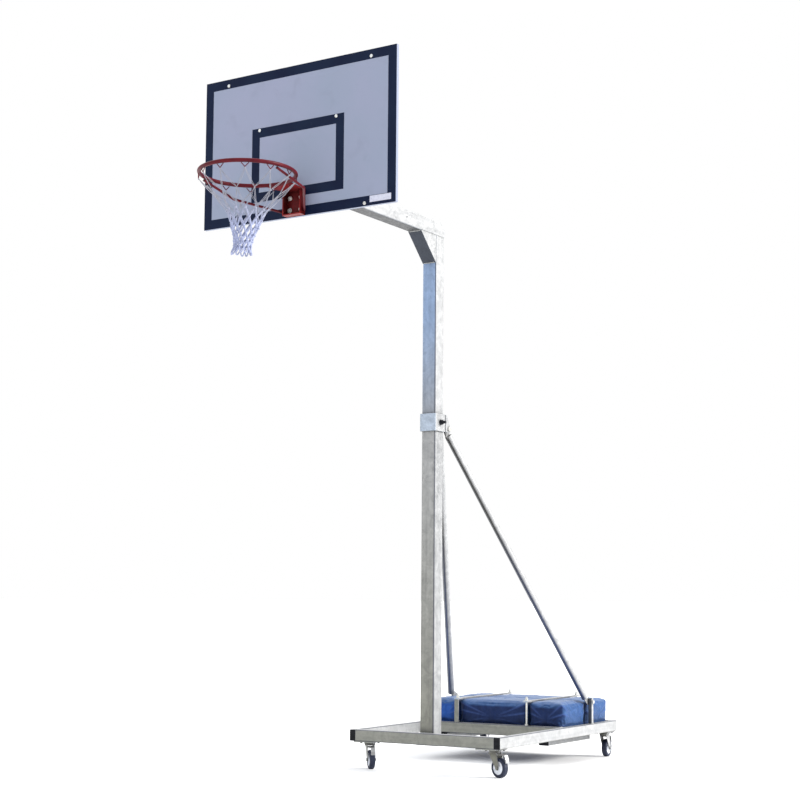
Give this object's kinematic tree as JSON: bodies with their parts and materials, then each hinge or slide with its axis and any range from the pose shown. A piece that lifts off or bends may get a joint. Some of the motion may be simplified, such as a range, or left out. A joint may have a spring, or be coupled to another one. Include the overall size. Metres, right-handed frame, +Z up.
{
  "type": "portable basketball hoop",
  "caption": "Free-standing basketball hoop on a ballasted steel base with braked swivel casters, a jointed box mast, a backboard, a ring and a net.",
  "frame": {"origin": "on the ground under the middle of the whole hoop's bounding box", "axes": "+Z is up, -Y points out through the board towards the player, +X is the right-hand side of a player's view"},
  "size_m": [1.22, 3.3767, 3.714],
  "materials": {
    "galvanised_frame": "satin",
    "galvanised_mast": "satin",
    "galvanised_stay": "satin",
    "zinc_fixings": "satin",
    "black_cap": "matte",
    "black_bolt": "satin",
    "ballast_cover": "gloss",
    "board_panel": "satin",
    "board_paint": "satin",
    "label_plate": "satin",
    "ring_red": "satin",
    "net_cord": "matte",
    "caster_steel": "satin",
    "wheel_centre": "satin",
    "wheel_tyre": "matte"
  },
  "bodies": {
    "base": {"side_rails": "galvanised_frame", "side_rail_caps": "black_cap", "cross_rails": "galvanised_frame", "runners": "galvanised_frame", "runner_caps": "black_cap", "mounting_plates": "galvanised_frame", "mast_lower": "galvanised_mast", "mast_foot": "galvanised_frame", "collar": "galvanised_mast", "cheek_plates": "galvanised_mast", "lock_bolt": "black_bolt", "stay_left": "galvanised_stay", "stay_right": "galvanised_stay", "stay_posts": "galvanised_frame", "stay_bolts": "zinc_fixings", "ballast_front_left": "ballast_cover", "ballast_front_middle": "ballast_cover", "ballast_front_right": "ballast_cover", "ballast_rear_left": "ballast_cover", "ballast_rear_middle": "ballast_cover", "ballast_rear_right": "ballast_cover", "hold_down_bars": "galvanised_frame", "hold_down_rods": "zinc_fixings", "hold_down_strap": "galvanised_frame", "caster_plates": "caster_steel"},
    "head": {"mast_upper": "galvanised_mast", "arm": "galvanised_mast", "arm_end_cover": "galvanised_mast", "arm_gusset": "galvanised_mast", "end_plate": "galvanised_frame", "board_frame": "galvanised_frame", "backboard": "board_panel", "board_border": "board_paint", "target_lines": "board_paint", "board_label": "label_plate", "board_bolts": "zinc_fixings", "ring": "ring_red", "ring_bracket": "ring_red", "ring_braces": "ring_red", "net_hooks": "zinc_fixings", "bracket_bolts": "zinc_fixings", "net": "net_cord"},
    "caster_front_left_swivel": {"caster_front_left_fork": "caster_steel"},
    "caster_front_left_wheel": {"caster_front_left_hub": "wheel_centre", "caster_front_left_tyre": "wheel_tyre"},
    "caster_front_left_pedal": {"caster_front_left_brake": "caster_steel"},
    "caster_front_right_swivel": {"caster_front_right_fork": "caster_steel"},
    "caster_front_right_wheel": {"caster_front_right_hub": "wheel_centre", "caster_front_right_tyre": "wheel_tyre"},
    "caster_front_right_pedal": {"caster_front_right_brake": "caster_steel"},
    "caster_rear_left_swivel": {"caster_rear_left_fork": "caster_steel"},
    "caster_rear_left_wheel": {"caster_rear_left_hub": "wheel_centre", "caster_rear_left_tyre": "wheel_tyre"},
    "caster_rear_left_pedal": {"caster_rear_left_brake": "caster_steel"},
    "caster_rear_right_swivel": {"caster_rear_right_fork": "caster_steel"},
    "caster_rear_right_wheel": {"caster_rear_right_hub": "wheel_centre", "caster_rear_right_tyre": "wheel_tyre"},
    "caster_rear_right_pedal": {"caster_rear_right_brake": "caster_steel"}
  },
  "joints": [
    {"name": "head_lift", "type": "slide", "parent": "base", "child": "head", "axis": [0, 0, 1], "range_m": [0, 0.075]},
    {"name": "caster_front_left_turn", "type": "hinge", "parent": "base", "child": "caster_front_left_swivel", "pos_m": [-0.419, 0.261, 0.145], "axis": [0, 0, 1], "continuous": true},
    {"name": "caster_front_left_roll", "type": "hinge", "parent": "caster_front_left_swivel", "child": "caster_front_left_wheel", "pos_m": [-0.39156, 0.23471, 0.054], "axis": [0.6919, 0.722, 0], "continuous": true},
    {"name": "caster_front_left_press", "type": "hinge", "parent": "caster_front_left_swivel", "child": "caster_front_left_pedal", "pos_m": [-0.38146, 0.22502, 0.126], "axis": [0.6919, 0.722, 0], "range_deg": [0, 9]},
    {"name": "caster_front_right_turn", "type": "hinge", "parent": "base", "child": "caster_front_right_swivel", "pos_m": [0.419, 0.261, 0.145], "axis": [0, 0, 1], "continuous": true},
    {"name": "caster_front_right_roll", "type": "hinge", "parent": "caster_front_right_swivel", "child": "caster_front_right_wheel", "pos_m": [0.45548, 0.25036, 0.054], "axis": [0.28, 0.96, 0], "continuous": true},
    {"name": "caster_front_right_press", "type": "hinge", "parent": "caster_front_right_swivel", "child": "caster_front_right_pedal", "pos_m": [0.46892, 0.24644, 0.126], "axis": [0.28, 0.96, 0], "range_deg": [0, 9]},
    {"name": "caster_rear_left_turn", "type": "hinge", "parent": "base", "child": "caster_rear_left_swivel", "pos_m": [-0.44, 1.588, 0.145], "axis": [0, 0, 1], "continuous": true},
    {"name": "caster_rear_left_roll", "type": "hinge", "parent": "caster_rear_left_swivel", "child": "caster_rear_left_wheel", "pos_m": [-0.4476, 1.62523, 0.054], "axis": [-0.9798, -0.2, 0], "continuous": true},
    {"name": "caster_rear_left_press", "type": "hinge", "parent": "caster_rear_left_swivel", "child": "caster_rear_left_pedal", "pos_m": [-0.4504, 1.63895, 0.126], "axis": [-0.9798, -0.2, 0], "range_deg": [0, 9]},
    {"name": "caster_rear_right_turn", "type": "hinge", "parent": "base", "child": "caster_rear_right_swivel", "pos_m": [0.44, 1.588, 0.145], "axis": [0, 0, 1], "continuous": true},
    {"name": "caster_rear_right_roll", "type": "hinge", "parent": "caster_rear_right_swivel", "child": "caster_rear_right_wheel", "pos_m": [0.43601, 1.62579, 0.054], "axis": [-0.9945, -0.1049, 0], "continuous": true},
    {"name": "caster_rear_right_press", "type": "hinge", "parent": "caster_rear_right_swivel", "child": "caster_rear_right_pedal", "pos_m": [0.43454, 1.63971, 0.126], "axis": [-0.9945, -0.1049, 0], "range_deg": [0, 9]}
  ]
}
